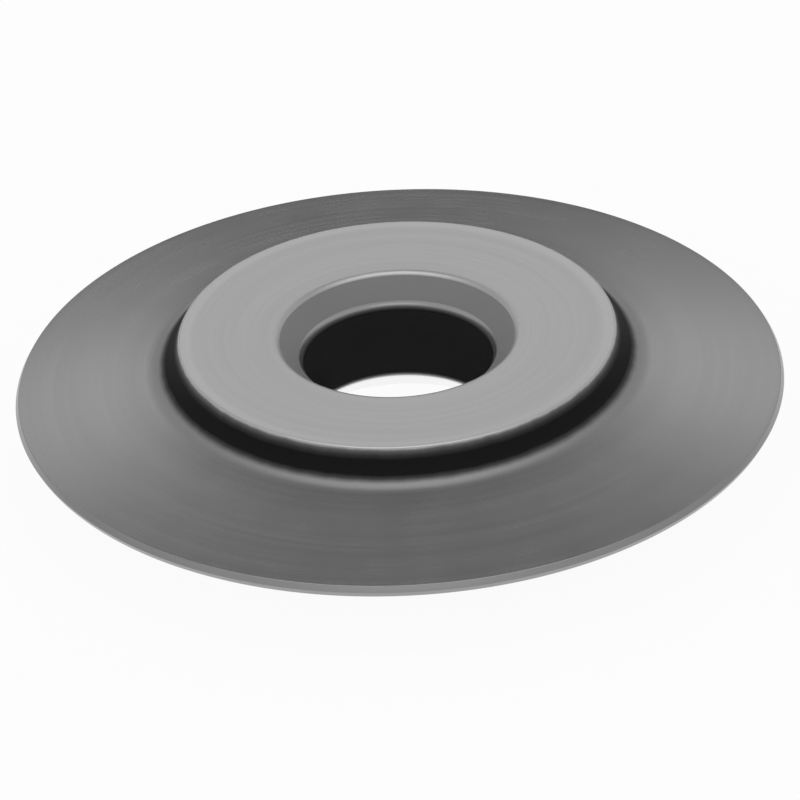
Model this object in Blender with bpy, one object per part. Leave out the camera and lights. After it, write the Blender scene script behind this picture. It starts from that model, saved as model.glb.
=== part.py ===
"""Cutter wheel of a hand pipe and tube cutter, turned and ground from one piece of tool steel.

A thin disc has a conical flank on each side and ends in a short, steep cutting edge.
A raised hub on each side ends in a flat ground face, and a bore with a chamfer at both
ends takes the cutter's pin. Both sides are alike about the plane of the cutting edge.
The wheel lies flat on its lower hub face, with the bore's axis along +Z and the origin
at the centre of the bore, in the plane of the cutting edge.
"""

import math

import bmesh
import bpy
from mathutils import Vector

MM = 0.001

# Wheel
OUTSIDE_DIAMETER = 19.4 * MM
BORE_DIAMETER = 4.8 * MM
THICKNESS = 3.35 * MM                   # over the two hub faces

# Hub
HUB_DIAMETER = 11.0 * MM                # of the hub face, measured to its sharp corner
HUB_EDGE_RADIUS = 0.1 * MM
HUB_WALL_DRAFT = math.radians(27.0)     # lean of the hub's side away from the axis
HUB_ROOT_RADIUS = 0.9 * MM              # hollow round between the hub's side and the flank

# Chamfer at each end of the bore
CHAMFER_WIDTH = 0.64 * MM
CHAMFER_ANGLE = math.radians(45.0)      # between the chamfer and the hub face
CHAMFER_EDGE_RADIUS = 0.25 * MM

# Blade
FLANK_ANGLE = math.radians(12.0)        # between a flank and the plane of the cutting edge
EDGE_BEVEL_WIDTH = 0.08 * MM            # measured along the radius
EDGE_BEVEL_HEIGHT = 0.15 * MM           # measured from the plane of the cutting edge

# Smoothness of the rounds
TURN_STEPS = 96
ROUND_STEP = math.radians(15.0)         # most that one step of a rounded corner turns
SIDE_IN_ROUNDS = 0.96                   # most of a straight side that its two rounds take up
SHARP_ANGLE = math.radians(30.0)

# Steel
STEEL_COLOUR = (0.33, 0.33, 0.335, 1.0)
STEEL_ROUGHNESS = 0.36


def clear_scene():
    for item in list(bpy.data.objects):
        bpy.data.objects.remove(item, do_unlink=True)


def half_corners():
    """Corners of the upper half of the wheel's section, from the bore out to the blade.

    Each one is a point (radius, height) with the radius of its round.
    """
    bore = BORE_DIAMETER / 2
    hub_face = THICKNESS / 2
    hub = HUB_DIAMETER / 2
    shoulder = OUTSIDE_DIAMETER / 2 - EDGE_BEVEL_WIDTH
    chamfer_depth = CHAMFER_WIDTH * math.tan(CHAMFER_ANGLE)
    flank_slope = math.tan(FLANK_ANGLE)
    wall_slope = math.tan(HUB_WALL_DRAFT)

    # The hub's side leans outwards as it goes down and meets the flank's line at the root.
    drop_to_axis = hub_face - EDGE_BEVEL_HEIGHT - shoulder * flank_slope
    root = (hub + drop_to_axis * wall_slope) / (1 - flank_slope * wall_slope)
    root_height = EDGE_BEVEL_HEIGHT + (shoulder - root) * flank_slope

    return [
        (Vector((bore, hub_face - chamfer_depth)), CHAMFER_EDGE_RADIUS),
        (Vector((bore + CHAMFER_WIDTH, hub_face)), CHAMFER_EDGE_RADIUS),
        (Vector((hub, hub_face)), HUB_EDGE_RADIUS),
        (Vector((root, root_height)), HUB_ROOT_RADIUS),
        (Vector((shoulder, EDGE_BEVEL_HEIGHT)), 0.0),
    ]


def section_corners():
    """All corners of the section in order, up the bore's side and round the cutting edge."""
    upper = half_corners()
    cutting_edge = (Vector((OUTSIDE_DIAMETER / 2, 0.0)), 0.0)
    lower = [(Vector((point.x, -point.y)), radius) for point, radius in reversed(upper)]
    return upper + [cutting_edge] + lower


def arms(points, i):
    """Directions from a corner along its two sides: to the corner before, and to the next."""
    after = (i + 1) % len(points)
    return (points[i - 1] - points[i]).normalized(), (points[after] - points[i]).normalized()


def rounded(corners):
    """Points of the closed outline through the corners, with an arc at each rounded one.

    A round is limited by the straight sides beside it, so that two rounds never meet.
    """
    count = len(corners)
    points = [point for point, radius in corners]
    half_angles = []
    reaches = []
    for i, (point, radius) in enumerate(corners):
        back, ahead = arms(points, i)
        half_angles.append(back.angle(ahead) / 2)
        reaches.append(radius / math.tan(half_angles[i]))

    def share(i, j):
        side = (points[j] - points[i]).length * SIDE_IN_ROUNDS
        wanted = reaches[i] + reaches[j]
        return min(1.0, side / wanted) if wanted > 0 else 1.0

    outline = []
    for i, point in enumerate(points):
        reach = reaches[i] * min(share(i - 1, i), share(i, (i + 1) % count))
        if reach == 0:
            outline.append(point)
            continue
        back, ahead = arms(points, i)
        centre = point + (back + ahead).normalized() * reach / math.cos(half_angles[i])
        first = point + back * reach - centre
        last = point + ahead * reach - centre
        steps = math.ceil((math.pi - 2 * half_angles[i]) / ROUND_STEP)
        for step in range(steps + 1):
            outline.append(centre + first.slerp(last, step / steps) * first.length)
    return outline


def turned(name, outline):
    """A solid made by turning a closed outline of (radius, height) points about the Z axis."""
    shape = bmesh.new()
    ring = [shape.verts.new((point.x, 0.0, point.y)) for point in outline]
    sides = [shape.edges.new((a, b)) for a, b in zip(ring, ring[1:] + ring[:1])]
    bmesh.ops.spin(
        shape,
        geom=ring + sides,
        cent=(0.0, 0.0, 0.0),
        axis=(0.0, 0.0, 1.0),
        angle=math.tau,
        steps=TURN_STEPS,
        use_merge=True,
    )
    bmesh.ops.recalc_face_normals(shape, faces=shape.faces)
    mesh = bpy.data.meshes.new(name)
    shape.to_mesh(mesh)
    shape.free()
    mesh.shade_smooth()
    mesh.set_sharp_from_angle(angle=SHARP_ANGLE)
    solid = bpy.data.objects.new(name, mesh)
    bpy.context.scene.collection.objects.link(solid)
    return solid


def tool_steel():
    material = bpy.data.materials.new("tool_steel")
    material.use_nodes = True
    shader = material.node_tree.nodes["Principled BSDF"]
    shader.inputs["Base Color"].default_value = STEEL_COLOUR
    shader.inputs["Metallic"].default_value = 1.0
    shader.inputs["Roughness"].default_value = STEEL_ROUGHNESS
    return material


clear_scene()
wheel = turned("cutter_wheel", rounded(section_corners()))
wheel.data.materials.append(tool_steel())
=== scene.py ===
"""Looks of the cutter wheel: fine turned mesh, ground and blackened steel, studio, camera."""

import math

import bmesh
import bpy
from mathutils import Matrix, Vector


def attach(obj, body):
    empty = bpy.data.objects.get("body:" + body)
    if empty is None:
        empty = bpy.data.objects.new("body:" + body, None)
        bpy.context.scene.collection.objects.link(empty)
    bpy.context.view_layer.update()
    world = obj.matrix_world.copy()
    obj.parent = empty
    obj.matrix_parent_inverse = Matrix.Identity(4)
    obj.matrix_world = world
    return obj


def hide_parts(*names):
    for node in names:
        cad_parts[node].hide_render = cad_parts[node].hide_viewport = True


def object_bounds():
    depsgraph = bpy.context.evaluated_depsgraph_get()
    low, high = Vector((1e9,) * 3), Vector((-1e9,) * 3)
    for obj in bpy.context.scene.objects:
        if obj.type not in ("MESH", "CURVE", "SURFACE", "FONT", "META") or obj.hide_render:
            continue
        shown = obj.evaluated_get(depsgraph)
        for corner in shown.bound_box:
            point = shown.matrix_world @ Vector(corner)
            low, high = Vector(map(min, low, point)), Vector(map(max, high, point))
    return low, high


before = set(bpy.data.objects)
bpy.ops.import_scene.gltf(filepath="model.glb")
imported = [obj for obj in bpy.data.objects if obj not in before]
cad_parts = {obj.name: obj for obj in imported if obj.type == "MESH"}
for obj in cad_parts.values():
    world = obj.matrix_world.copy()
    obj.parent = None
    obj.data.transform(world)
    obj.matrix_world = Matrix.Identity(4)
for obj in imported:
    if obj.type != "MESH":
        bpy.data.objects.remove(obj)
cad_box = [list(corner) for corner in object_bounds()]

MM = 0.001

# Wheel: the sizes of its section, as in the solid
OUTSIDE_DIAMETER = 19.4 * MM
BORE_DIAMETER = 4.8 * MM
THICKNESS = 3.35 * MM
HUB_DIAMETER = 11.0 * MM
HUB_EDGE_RADIUS = 0.1 * MM
HUB_WALL_DRAFT = math.radians(27.0)
HUB_ROOT_RADIUS = 0.9 * MM
CHAMFER_WIDTH = 0.64 * MM
CHAMFER_ANGLE = math.radians(45.0)
CHAMFER_EDGE_RADIUS = 0.25 * MM
FLANK_ANGLE = math.radians(12.0)
EDGE_BEVEL_WIDTH = 0.08 * MM
EDGE_BEVEL_HEIGHT = 0.15 * MM

# Fine rounds that the solid leaves sharp or makes a little smaller
BORE_RIM_RADIUS = 0.35 * MM
SHOULDER_RADIUS = 0.04 * MM
CUTTING_EDGE_RADIUS = 0.015 * MM

# Zones of the upper side whose copies on the lower side get nearly white steel, painted light
# that makes the bore's lower end show white
LOWER_ZONES = {
    "bore_rim": "lower_bore_rim",
    "chamfer": "lower_chamfer",
    "hub_rim": "lower_chamfer",
}

# Fineness of the mesh
TURN_STEPS = 384
ROUND_STEP = math.radians(6.0)          # most that one step of a rounded corner turns
LONGEST_SPAN = 0.3 * MM
SHARP_ANGLE = math.radians(30.0)

# Black scale, as the share of the surface that it covers
SCALE_BELOW_HUB_FACE = (
    # mm below the hub face, share
    (0.03, 0.0),
    (0.06, 0.33),
    (0.11, 0.66),
    (0.18, 0.88),
    (0.28, 1.0),
)
SCALE_BY_RADIUS = (
    # mm from the axis, share
    (5.86, 1.0),
    (5.94, 0.8),
    (6.0, 0.38),
    (6.06, 0.0),
)
SCALE_AT_BORE = (
    # mm outwards from the bore's wall, share
    (0.0, 1.0),
    (0.045, 0.0),
)
SCALE_COLOUR = (0.0125, 0.0125, 0.0125, 1.0)
SCALE_SPECULAR = 0.03                   # a low sheen, seen only where the view grazes it
BORE_COLOUR = (0.03, 0.03, 0.03, 1.0)
BORE_ROUGHNESS = 0.5
BORE_SPECULAR = 0.0

# Bare steel of the wheel's side, from the hub's edge out to the blade
# Painted highlight: brighter steel over the top of the hub's edge round
HUB_EDGE_HIGHLIGHT_BAND = (
    # mm below the hub face, share of brighter steel painted as the edge's highlight
    (0.0, 1.0),
    (0.04, 1.0),
    (0.08, 0.0),
)
HUB_EDGE_HIGHLIGHT_STEEL = (0.52, 0.52, 0.52, 1.0)
HUB_EDGE_HIGHLIGHT_ROUGHNESS = 0.4
# Painted light in the side's tone: brighter at the hub's root as a painted highlight, darker from
# there out to about 7 mm as painted shade near the hub
SIDE_TONE_WITH_PAINTED_LIGHT = (
    # mm from the axis, reflectance
    (6.1, 0.31),
    (6.25, 0.28),
    (6.7, 0.275),
    (7.2, 0.3),
    (9.4, 0.288),
)
SIDE_ROUGHNESS = (
    # mm from the axis, roughness
    (6.08, 0.5),
    (6.4, 0.26),
)

# Bare steel of the hub face, a little brighter towards its outer edge as a painted highlight
HUB_FACE_TONE_WITH_HIGHLIGHT = (
    # mm from the axis, reflectance
    (5.15, 0.392),
    (5.3, 0.43),
)
HUB_FACE_ROUGHNESS = 0.28

# Bare steel of the chamfers, the rounds at their ends and the cutting edge; the rounds are
# brighter than the chamfer, as painted highlights along them
CHAMFER_STEEL = (0.265, 0.265, 0.265, 1.0)
CHAMFER_ROUGHNESS = 0.5
CHAMFER_METALLIC = 0.3                  # the rest is matt grey
# Painted light: nearly white, smooth steel for the lower chamfer and its rounds
LOWER_PAINTED_WHITE_STEEL = (0.9, 0.9, 0.9, 1.0)
LOWER_CHAMFER_ROUGHNESS = 0.12
# Painted highlights: the rounds at the chamfer's ends get brighter steel than the chamfer
BORE_RIM_HIGHLIGHT_STEEL = (0.41, 0.41, 0.41, 1.0)
BORE_RIM_ROUGHNESS = 0.32
HUB_RIM_HIGHLIGHT_STEEL = (0.46, 0.46, 0.46, 1.0)
HUB_RIM_ROUGHNESS = 0.38
EDGE_STEEL = (0.33, 0.33, 0.33, 1.0)
EDGE_ROUGHNESS = 0.32
STEEL_SPECULAR = 0.2

# Ring marks of a ground face
RINGS_OUTWARDS = 8.0                    # scale of their noise per mm outwards
RINGS_ROUND = 0.6                       # scale of their noise round the wheel
RINGS_BY_HEIGHT = 0.9                   # mm outwards that a mm of height counts as
RINGS_DETAIL = 1.0
RINGS_SEED = 3.0
RINGS_IN_TONE = 0.05
RINGS_IN_ROUGHNESS = 0.1

# Clouds of a ground face and ragged borders of the scale: scale per mm, detail, seed
CLOUDS = (0.7, 3.0, 8.0)
CLOUDS_IN_TONE = 0.1
CLOUDS_IN_SCALE_TONE = 0.3
CLOUDS_IN_ROUGHNESS = 0.06
RAGGED_CLOUDS = (2.6, 4.0, 5.0)
RAGGED_REACH = 0.05                     # mm by which the borders waver
NOISE_MEAN = 0.5

# Camera, fitted to the photograph's 800 x 800 pixels
PHOTO_SIDE = 800
WHEEL_CENTRE_X = 399.8
WHEEL_CENTRE_Y = 390.2
PIXELS_PER_RADIUS = 384.7
CAMERA_ELEVATION = math.radians(31.31)
CAMERA_ROLL = math.radians(2.91)
CAMERA_DISTANCE = 640 * MM
CAMERA_CLIP = 20                        # how many times nearer or farther than the wheel it sees
SENSOR_WIDTH = 36.0

# Studio
WHITE = (1.0, 1.0, 1.0, 1.0)
FLOOR_COLOUR = (0.93, 0.93, 0.93, 1.0)
FLOOR_GLOW = 0.94                       # share of plain white where the camera sees the floor
FLOOR_RADIUS = 600 * MM
FLOOR_SIDES = 96
LAMP_HEIGHT = 1500 * MM
LAMP_HALF_WIDTH = math.radians(30.0)    # seen from the wheel, to the left and right
LAMP_HALF_DEPTH = math.radians(17.0)    # seen from the wheel, to the front and back
LAMP_RADIANCE = 1.3
DOME = (
    # elevation in degrees, radiance
    (0, 0.42),
    (10, 0.52),
    (16, 0.72),
    (26, 0.72),
    (36, 0.58),
    (60, 0.56),
    (72, 0.42),
    (90, 0.42),
)
SOFTBOXES = (
    # elevation in degrees, radiance
    (0, 0.02),
    (7, 0.04),
    (10, 0.44),
    (13, 0.5),
    (18, 0.58),
    (23, 0.96),
    (26, 1.1),
    (35, 1.1),
    (42, 0.6),
    (50, 0.42),
    (58, 0.31),
    (66, 0.31),
    (90, 0.42),
)
SOFTBOX_INNER = 0.28                    # x of the direction up to which it has its full light
SOFTBOX_OUTER = 0.5                     # x of the direction at which its light ends

# Sockets of the Mix node for colours, which shares their names with other sockets
MIX_FIRST, MIX_SECOND, MIX_RESULT = 6, 7, 2


# Mesh


def wheel_corners():
    """Corners (point, radius of its round, zone of the round, zone of the side after it).

    A point is (radius, height). They run from the bore's upper end out to the cutting edge
    and back along the lower side, so that the last side is the bore.
    """
    bore = BORE_DIAMETER / 2
    hub_face = THICKNESS / 2
    hub = HUB_DIAMETER / 2
    shoulder = OUTSIDE_DIAMETER / 2 - EDGE_BEVEL_WIDTH
    chamfer_depth = CHAMFER_WIDTH * math.tan(CHAMFER_ANGLE)
    flank_slope = math.tan(FLANK_ANGLE)
    wall_slope = math.tan(HUB_WALL_DRAFT)

    # The hub's side leans outwards as it goes down and meets the flank's line at the root.
    drop_to_axis = hub_face - EDGE_BEVEL_HEIGHT - shoulder * flank_slope
    root = (hub + drop_to_axis * wall_slope) / (1 - flank_slope * wall_slope)
    root_height = EDGE_BEVEL_HEIGHT + (shoulder - root) * flank_slope

    upper = [
        (bore, hub_face - chamfer_depth, BORE_RIM_RADIUS, "bore_rim", "chamfer"),
        (bore + CHAMFER_WIDTH, hub_face, CHAMFER_EDGE_RADIUS, "hub_rim", "hub_face"),
        (hub, hub_face, HUB_EDGE_RADIUS, "side", "side"),
        (root, root_height, HUB_ROOT_RADIUS, "side", "side"),
        (shoulder, EDGE_BEVEL_HEIGHT, SHOULDER_RADIUS, "edge", "edge"),
    ]
    edge = (OUTSIDE_DIAMETER / 2, 0.0, CUTTING_EDGE_RADIUS, "edge", "edge")

    # On the way back the side after a corner is the one that came before it above.
    sides = ["bore"] + [corner[4] for corner in upper]
    lower = [
        (r, -z, radius, LOWER_ZONES.get(zone, zone), LOWER_ZONES.get(side, side))
        for (r, z, radius, zone, _), side in zip(reversed(upper), reversed(sides[:-1]))
    ]
    corners = upper + [edge] + lower
    return [(Vector((r, z)), radius, zone, side) for r, z, radius, zone, side in corners]


def wheel_outline():
    """Points of the closed outline with its rounds, and the zone of the line after each."""
    corners = wheel_corners()
    count = len(corners)
    points, zones = [], []
    for i, (point, radius, zone, side) in enumerate(corners):
        back = (corners[i - 1][0] - point).normalized()
        ahead = (corners[(i + 1) % count][0] - point).normalized()
        half_angle = back.angle(ahead) / 2
        reach = radius / math.tan(half_angle)
        centre = point + (back + ahead).normalized() * reach / math.cos(half_angle)
        first = point + back * reach - centre
        last = point + ahead * reach - centre
        steps = math.ceil((math.pi - 2 * half_angle) / ROUND_STEP)
        for step in range(steps + 1):
            points.append(centre + first.slerp(last, step / steps) * first.length)
            zones.append(zone if step < steps else side)
    return points, zones


def wheel_section():
    """The outline cut into short spans: their points, and the zone of the span after each."""
    points, zones = wheel_outline()
    fine_points, fine_zones = [], []
    for i, point in enumerate(points):
        after = points[(i + 1) % len(points)]
        parts = math.ceil((after - point).length / LONGEST_SPAN)
        for part in range(parts):
            fine_points.append(point.lerp(after, part / parts))
            fine_zones.append(zones[i])
    return fine_points, fine_zones


def turned_wheel(name, materials):
    """The wheel as one closed mesh, with each zone's faces in that zone's material."""
    points, zones = wheel_section()
    count = len(points)
    slots = list(materials)
    mesh = bpy.data.meshes.new(name)
    verts, faces, indices = [], [], []
    for step in range(TURN_STEPS):
        turn = math.tau * step / TURN_STEPS
        verts += [(p.x * math.cos(turn), p.x * math.sin(turn), p.y) for p in points]
    for step in range(TURN_STEPS):
        here, there = step * count, (step + 1) % TURN_STEPS * count
        for i in range(count):
            j = (i + 1) % count
            faces.append((here + i, here + j, there + j, there + i))
            indices.append(slots.index(zones[i]))
    mesh.from_pydata(verts, [], faces)
    for zone in slots:
        mesh.materials.append(materials[zone])
    mesh.polygons.foreach_set("material_index", indices)
    shape = bmesh.new()
    shape.from_mesh(mesh)
    bmesh.ops.recalc_face_normals(shape, faces=shape.faces)
    shape.to_mesh(mesh)
    shape.free()
    mesh.shade_smooth()
    mesh.set_sharp_from_angle(angle=SHARP_ANGLE)
    wheel = bpy.data.objects.new(name, mesh)
    bpy.context.scene.collection.objects.link(wheel)
    return wheel


# Materials


def add(tree, kind, inputs=None, **settings):
    """A new node with its settings, and its inputs set to numbers or joined to sockets."""
    node = tree.nodes.new(kind)
    for name, value in settings.items():
        setattr(node, name, value)
    for key, value in (inputs or {}).items():
        if isinstance(value, bpy.types.NodeSocket):
            tree.links.new(value, node.inputs[key])
        else:
            node.inputs[key].default_value = value
    return node


def calc(tree, operation, a, b=0.0, c=0.0):
    """The result of a Math node."""
    return add(tree, "ShaderNodeMath", {0: a, 1: b, 2: c}, operation=operation).outputs[0]


def new_material(name):
    """A material with its node tree and its shader."""
    material = bpy.data.materials.new(name)
    material.use_nodes = True
    tree = material.node_tree
    return material, tree, tree.nodes["Principled BSDF"]


def curve(tree, value, stops):
    """A number that follows straight lines between stops of (value, number)."""
    first, last = stops[0][0], stops[-1][0]
    place = add(tree, "ShaderNodeMapRange", {"Value": value, "From Min": first, "From Max": last})
    ramp = add(tree, "ShaderNodeValToRGB", {0: place.outputs[0]})
    elements = ramp.color_ramp.elements
    while len(elements) < len(stops):
        elements.new(0.5)
    for element, (at, number) in zip(elements, stops):
        element.position = (at - first) / (last - first)
        element.color = (number, number, number, 1.0)
    return ramp.outputs[0]


def mixed(tree, share, first, second, blend="MIX"):
    """The first colour, with the share of the second blended into it."""
    inputs = {"Factor": share, MIX_FIRST: first, MIX_SECOND: second}
    node = add(tree, "ShaderNodeMix", inputs, data_type="RGBA", blend_type=blend)
    return node.outputs[MIX_RESULT]


def wheel_coordinates(tree):
    """Sockets for x, y, z and the distance from the axis, all in mm."""
    place = add(tree, "ShaderNodeTexCoord").outputs["Object"]
    split = add(tree, "ShaderNodeSeparateXYZ", {0: place})
    x, y, z = (calc(tree, "DIVIDE", split.outputs[i], MM) for i in range(3))
    squares = calc(tree, "ADD", calc(tree, "MULTIPLY", x, x), calc(tree, "MULTIPLY", y, y))
    return x, y, z, calc(tree, "SQRT", squares)


def noise(tree, place, scale, detail):
    """Noise about zero at the place (x, y, z)."""
    vector = add(tree, "ShaderNodeCombineXYZ", dict(enumerate(place))).outputs[0]
    inputs = {"Vector": vector, "Scale": scale, "Detail": detail}
    value = add(tree, "ShaderNodeTexNoise", inputs).outputs["Fac"]
    return calc(tree, "SUBTRACT", value, NOISE_MEAN)


def ring_noise(tree, coordinates):
    """Noise drawn out into rings round the axis."""
    x, y, z, radius = coordinates
    outwards = calc(tree, "ADD", radius, calc(tree, "MULTIPLY", z, RINGS_BY_HEIGHT))
    place = (
        calc(tree, "MULTIPLY", calc(tree, "DIVIDE", x, radius), RINGS_ROUND),
        calc(tree, "MULTIPLY", calc(tree, "DIVIDE", y, radius), RINGS_ROUND),
        calc(tree, "MULTIPLY_ADD", outwards, RINGS_OUTWARDS, RINGS_SEED),
    )
    return noise(tree, place, 1.0, RINGS_DETAIL)


def cloud_noise(tree, coordinates, scale, detail, seed):
    """Noise alike in all directions."""
    x, y, z = coordinates[:3]
    return noise(tree, (x, y, calc(tree, "ADD", z, seed)), scale, detail)


def ground_finish(tree, shader, coordinates, colour, roughness, clouds=CLOUDS_IN_TONE):
    """Fine ring marks and faint clouds in the tone and roughness of a ground face."""
    rings = ring_noise(tree, coordinates)
    broad = cloud_noise(tree, coordinates, *CLOUDS)
    tone = calc(tree, "MULTIPLY_ADD", rings, RINGS_IN_TONE, 1.0)
    tone = calc(tree, "MULTIPLY_ADD", broad, clouds, tone)
    tree.links.new(mixed(tree, 1.0, colour, tone, "MULTIPLY"), shader.inputs["Base Color"])
    rough = calc(tree, "MULTIPLY_ADD", rings, RINGS_IN_ROUGHNESS, roughness)
    rough = calc(tree, "MULTIPLY_ADD", broad, CLOUDS_IN_ROUGHNESS, rough)
    tree.links.new(rough, shader.inputs["Roughness"])


def steel(name, colour, roughness, metallic=1.0):
    """Bare steel of one colour."""
    material, tree, shader = new_material(name)
    ground_finish(tree, shader, wheel_coordinates(tree), colour, roughness)
    shader.inputs["Metallic"].default_value = metallic
    shader.inputs["Specular IOR Level"].default_value = STEEL_SPECULAR
    return material


def hub_face_steel(name):
    """The flat ground ring of the hub face."""
    material, tree, shader = new_material(name)
    coordinates = wheel_coordinates(tree)
    # painted highlight: the face's colour brightens towards its outer edge
    tone = curve(tree, coordinates[3], HUB_FACE_TONE_WITH_HIGHLIGHT)
    ground_finish(tree, shader, coordinates, tone, HUB_FACE_ROUGHNESS)
    shader.inputs["Metallic"].default_value = 1.0
    return material


def bore_scale(name):
    """The black wall of the bore."""
    material, tree, shader = new_material(name)
    coordinates = wheel_coordinates(tree)
    ground_finish(
        tree, shader, coordinates, BORE_COLOUR, BORE_ROUGHNESS, clouds=CLOUDS_IN_SCALE_TONE
    )
    shader.inputs["Specular IOR Level"].default_value = BORE_SPECULAR
    return material


def under_scale(tree, shader, share, bare):
    """The colour of bare steel with the share of black scale on it, which isn't metallic."""
    tree.links.new(calc(tree, "SUBTRACT", 1.0, share), shader.inputs["Metallic"])
    shader.inputs["Specular IOR Level"].default_value = SCALE_SPECULAR
    return mixed(tree, share, bare, SCALE_COLOUR)


def bore_rim_steel(name, bare):
    """The round at the bore's end: steel, and black where it meets the bore's wall."""
    material, tree, shader = new_material(name)
    coordinates = wheel_coordinates(tree)
    outwards = calc(tree, "SUBTRACT", coordinates[3], BORE_DIAMETER / 2 / MM)
    colour = under_scale(tree, shader, curve(tree, outwards, SCALE_AT_BORE), bare)
    ground_finish(tree, shader, coordinates, colour, BORE_RIM_ROUGHNESS)
    return material


def side_steel(name):
    """The side from the hub's edge, which has a painted highlight, down its black wall and out
    over the ground flank, with painted light in its tone.
    """
    material, tree, shader = new_material(name)
    coordinates = wheel_coordinates(tree)
    z, radius = coordinates[2:]
    ragged = cloud_noise(tree, coordinates, *RAGGED_CLOUDS)
    ragged = calc(tree, "MULTIPLY", ragged, RAGGED_REACH)
    depth = calc(tree, "SUBTRACT", THICKNESS / 2 / MM, calc(tree, "ABSOLUTE", z))
    ragged_depth = calc(tree, "ADD", depth, ragged)
    below = curve(tree, ragged_depth, SCALE_BELOW_HUB_FACE)
    within = curve(tree, calc(tree, "ADD", radius, ragged), SCALE_BY_RADIUS)
    # painted highlight: brighter steel on the top of the hub's edge round
    hub_edge_highlight = curve(tree, ragged_depth, HUB_EDGE_HIGHLIGHT_BAND)
    # painted light: the tone by radius holds the root's painted highlight and the painted shade
    # near the hub
    bare = mixed(tree, hub_edge_highlight, curve(tree, radius, SIDE_TONE_WITH_PAINTED_LIGHT), HUB_EDGE_HIGHLIGHT_STEEL)
    colour = under_scale(tree, shader, calc(tree, "MULTIPLY", below, within), bare)
    rough = curve(tree, radius, SIDE_ROUGHNESS)
    change = calc(tree, "MULTIPLY", calc(tree, "SUBTRACT", HUB_EDGE_HIGHLIGHT_ROUGHNESS, rough), hub_edge_highlight)
    ground_finish(tree, shader, coordinates, colour, calc(tree, "ADD", rough, change))
    return material


def wheel_materials():
    """The material of each zone."""
    return {
        "bore": bore_scale("bore_scale"),
        "bore_rim": bore_rim_steel("bore_rim_steel", BORE_RIM_HIGHLIGHT_STEEL),
        "lower_bore_rim": bore_rim_steel("lower_bore_rim_steel", LOWER_PAINTED_WHITE_STEEL),
        "chamfer": steel("chamfer_steel", CHAMFER_STEEL, CHAMFER_ROUGHNESS, CHAMFER_METALLIC),
        "lower_chamfer": steel("lower_chamfer_steel", LOWER_PAINTED_WHITE_STEEL, LOWER_CHAMFER_ROUGHNESS),
        "hub_rim": steel("hub_rim_steel", HUB_RIM_HIGHLIGHT_STEEL, HUB_RIM_ROUGHNESS),
        "hub_face": hub_face_steel("hub_face_steel"),
        "side": side_steel("side_steel"),
        "edge": steel("edge_steel", EDGE_STEEL, EDGE_ROUGHNESS),
    }


# Studio


def studio_floor():
    """A pale floor that the camera sees as white, with the wheel's shadow on it."""
    shape = bmesh.new()
    bmesh.ops.create_circle(shape, cap_ends=True, radius=FLOOR_RADIUS, segments=FLOOR_SIDES)
    mesh = bpy.data.meshes.new("floor")
    shape.to_mesh(mesh)
    shape.free()
    floor = bpy.data.objects.new("floor", mesh)
    floor.location.z = cad_box[0][2]
    bpy.context.scene.collection.objects.link(floor)
    material, tree, shader = new_material("floor")
    tree.nodes.remove(shader)
    paint = add(tree, "ShaderNodeBsdfDiffuse", {"Color": FLOOR_COLOUR}).outputs[0]
    glow = add(tree, "ShaderNodeEmission", {"Color": WHITE, "Strength": 1.0}).outputs[0]
    path = add(tree, "ShaderNodeLightPath").outputs
    seen = calc(tree, "MAXIMUM", path["Is Camera Ray"], path["Is Glossy Ray"])
    seen = calc(tree, "MAXIMUM", seen, path["Is Transmission Ray"])
    share = calc(tree, "MULTIPLY", seen, FLOOR_GLOW)
    mix = add(tree, "ShaderNodeMixShader", {0: share, 1: paint, 2: glow}).outputs[0]
    tree.links.new(mix, tree.nodes["Material Output"].inputs["Surface"])
    mesh.materials.append(material)


def by_elevation(tree, upward, stops):
    """Radiance by the sine of the elevation, from stops of (degrees, radiance)."""
    sines = [(math.sin(math.radians(elevation)), radiance) for elevation, radiance in stops]
    return curve(tree, upward, sines)


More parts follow.
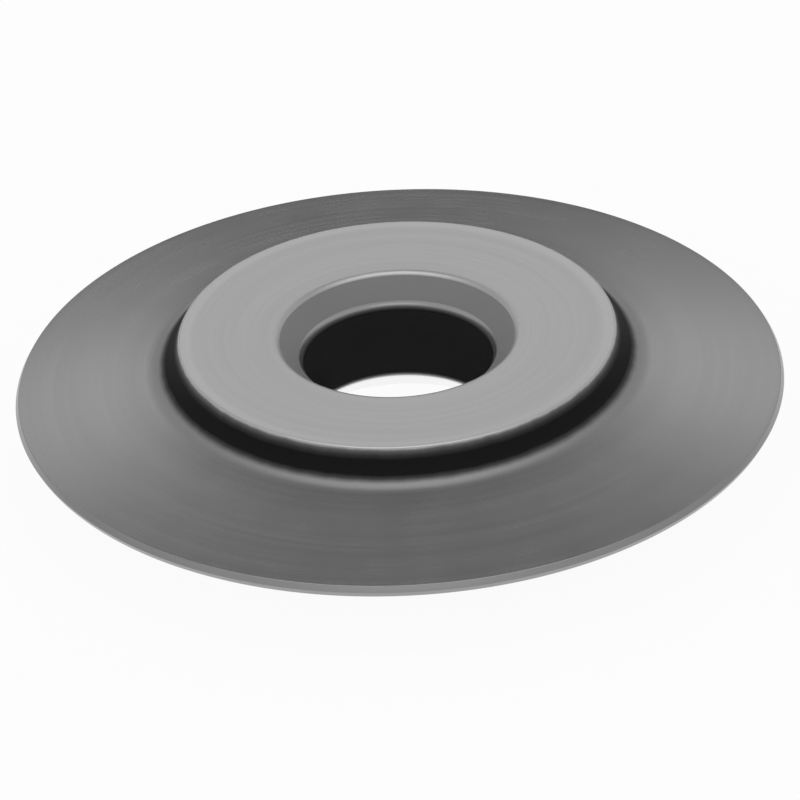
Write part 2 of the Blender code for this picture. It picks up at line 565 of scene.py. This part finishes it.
def studio_dome():
    """The world: a dim dome with one broad softbox at the back and one at the front."""
    world = bpy.data.worlds.new("studio")
    bpy.context.scene.world = world
    world.use_nodes = True
    tree = world.node_tree
    direction = add(tree, "ShaderNodeTexCoord").outputs["Generated"]
    split = add(tree, "ShaderNodeSeparateXYZ", {0: direction})
    aside = {
        "Value": calc(tree, "ABSOLUTE", split.outputs[0]),
        "From Min": SOFTBOX_INNER,
        "From Max": SOFTBOX_OUTER,
        "To Min": 1.0,
        "To Max": 0.0,
    }
    in_box = add(tree, "ShaderNodeMapRange", aside, interpolation_type="SMOOTHSTEP").outputs[0]
    dim = by_elevation(tree, split.outputs[2], DOME)
    bright = by_elevation(tree, split.outputs[2], SOFTBOXES)
    light = mixed(tree, in_box, dim, bright)
    tree.links.new(light, tree.nodes["Background"].inputs["Color"])


def overhead_lamp():
    """A broad, soft lamp straight above the wheel."""
    half_width = LAMP_HEIGHT * math.tan(LAMP_HALF_WIDTH)
    half_depth = LAMP_HEIGHT * math.tan(LAMP_HALF_DEPTH)
    area = math.pi * half_width * half_depth
    data = bpy.data.lights.new("overhead", "AREA")
    data.shape = "ELLIPSE"
    data.size = 2 * half_width
    data.size_y = 2 * half_depth
    data.energy = LAMP_RADIANCE * math.pi * area
    lamp = bpy.data.objects.new("overhead", data)
    lamp.location.z = LAMP_HEIGHT
    bpy.context.scene.collection.objects.link(lamp)


def photo_camera():
    """A camera that sees the wheel as the photograph does."""
    pixel = OUTSIDE_DIAMETER / 2 / PIXELS_PER_RADIUS
    back = Vector((0.0, -math.cos(CAMERA_ELEVATION), math.sin(CAMERA_ELEVATION)))
    turn = back.to_track_quat("Z", "Y").to_matrix() @ Matrix.Rotation(-CAMERA_ROLL, 3, "Z")
    data = bpy.data.cameras.new("camera")
    data.sensor_width = SENSOR_WIDTH
    data.lens = SENSOR_WIDTH * CAMERA_DISTANCE / (PHOTO_SIDE * pixel)
    data.clip_start = CAMERA_DISTANCE / CAMERA_CLIP
    data.clip_end = CAMERA_DISTANCE * CAMERA_CLIP
    aside = (PHOTO_SIDE / 2 - WHEEL_CENTRE_X) * pixel
    lower = (WHEEL_CENTRE_Y - PHOTO_SIDE / 2) * pixel
    camera = bpy.data.objects.new("camera", data)
    camera.rotation_mode = "QUATERNION"
    camera.rotation_quaternion = turn.to_quaternion()
    camera.location = back * CAMERA_DISTANCE + turn @ Vector((aside, lower, 0.0))
    bpy.context.scene.collection.objects.link(camera)
    bpy.context.scene.camera = camera


wheel = turned_wheel("wheel", wheel_materials())
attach(wheel, "root")
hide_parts("cutter_wheel")
studio_floor()
studio_dome()
overhead_lamp()
photo_camera()
bpy.context.scene.view_settings.view_transform = "Standard"
